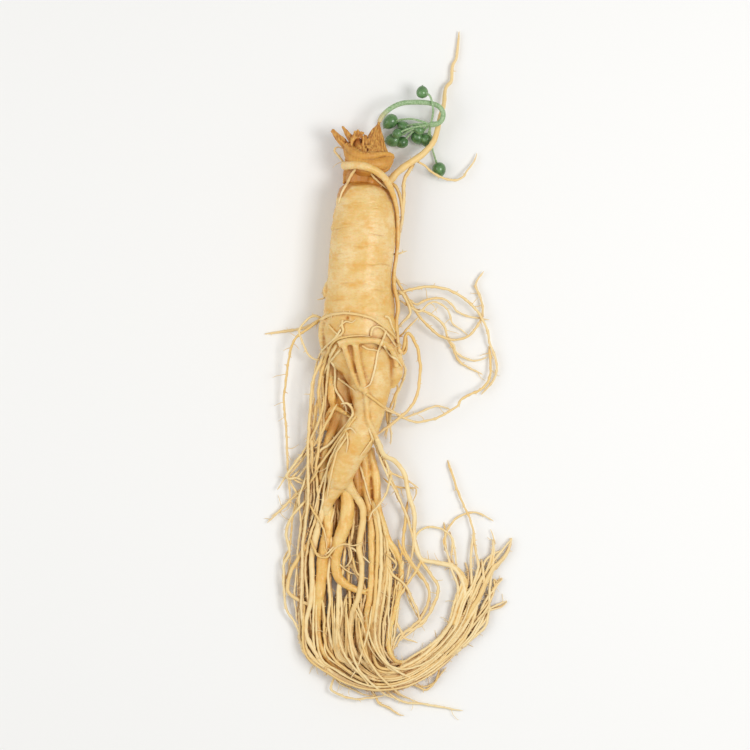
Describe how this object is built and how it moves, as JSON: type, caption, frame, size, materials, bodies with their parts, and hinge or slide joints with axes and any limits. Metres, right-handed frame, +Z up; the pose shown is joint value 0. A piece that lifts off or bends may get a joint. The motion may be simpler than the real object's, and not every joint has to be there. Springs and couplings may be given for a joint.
{
  "type": "ginseng root",
  "caption": "Fresh ginseng root lying on its side: stout body, knobbly crown, two legs and long sweeping rootlets, with its green fruit stalk.",
  "frame": {"origin": "centre of the small flat spot below the belly, on the surface that the root lies on", "axes": "+Y along the root towards the crown, +Z up from the surface, +X to the side that the rootlets sweep to"},
  "size_m": [0.1239, 0.3436, 0.0336],
  "materials": {
    "root_flesh": "moist cream-yellow root skin, a soft sheen, orange-brown in its folds",
    "stalk_green": "smooth green stalk and berries with a soft gloss"
  },
  "bodies": {
    "root": {"ginseng_root": "root_flesh", "fruit_stalk": "stalk_green"}
  },
  "joints": []
}
